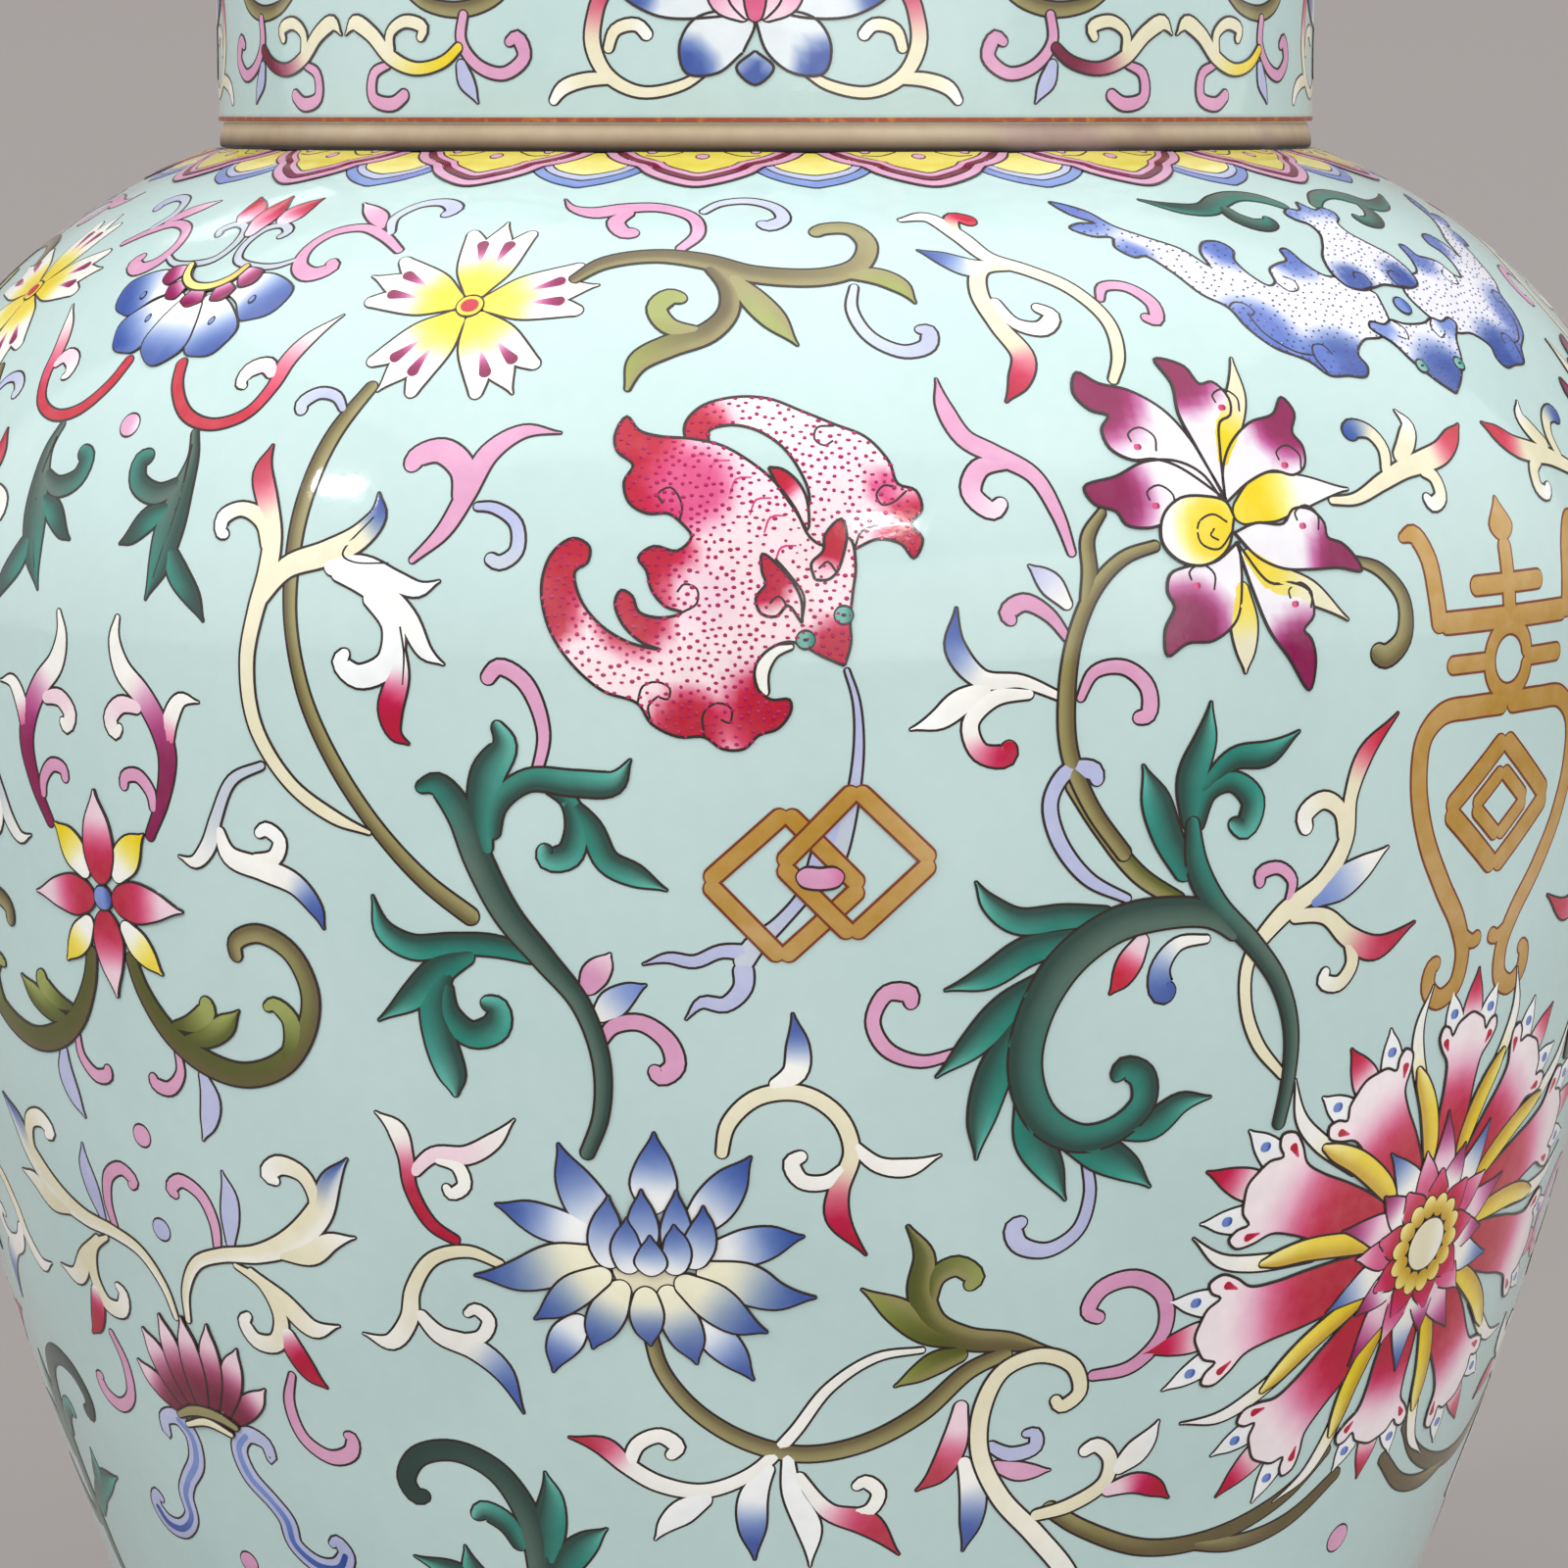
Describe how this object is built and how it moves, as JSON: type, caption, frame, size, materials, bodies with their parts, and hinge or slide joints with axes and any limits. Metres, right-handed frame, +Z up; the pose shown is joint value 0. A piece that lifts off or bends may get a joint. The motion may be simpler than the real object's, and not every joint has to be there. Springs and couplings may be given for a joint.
{
  "type": "ginger jar",
  "caption": "Round-shouldered porcelain jar with a short plain neck, recessed foot and a loose cap-shaped lid that drops over the neck.",
  "frame": {"origin": "centre of the foot ring, on the surface that the jar stands on", "axes": "+Z up along the jar's axis of rotation; -Y is the side seen from the front"},
  "size_m": [0.232, 0.232, 0.2938],
  "materials": {
    "jar_glaze": "glossy turquoise glaze with painted enamels",
    "lid_glaze": "glossy turquoise glaze with painted enamels",
    "biscuit": "bare fired clay, smooth and matt",
    "enamels": "thick glossy overglaze enamels in many colours",
    "gilding": "thin worn gilding"
  },
  "bodies": {
    "jar": {"jar_lower_section": "jar_glaze", "jar_upper_section": "jar_glaze"},
    "lid": {"lid": "lid_glaze"}
  },
  "joints": [
    {"name": "lid_lift", "type": "slide", "parent": "jar", "child": "lid", "axis": [0, 0, 1], "range_m": [0, 0.1]}
  ]
}
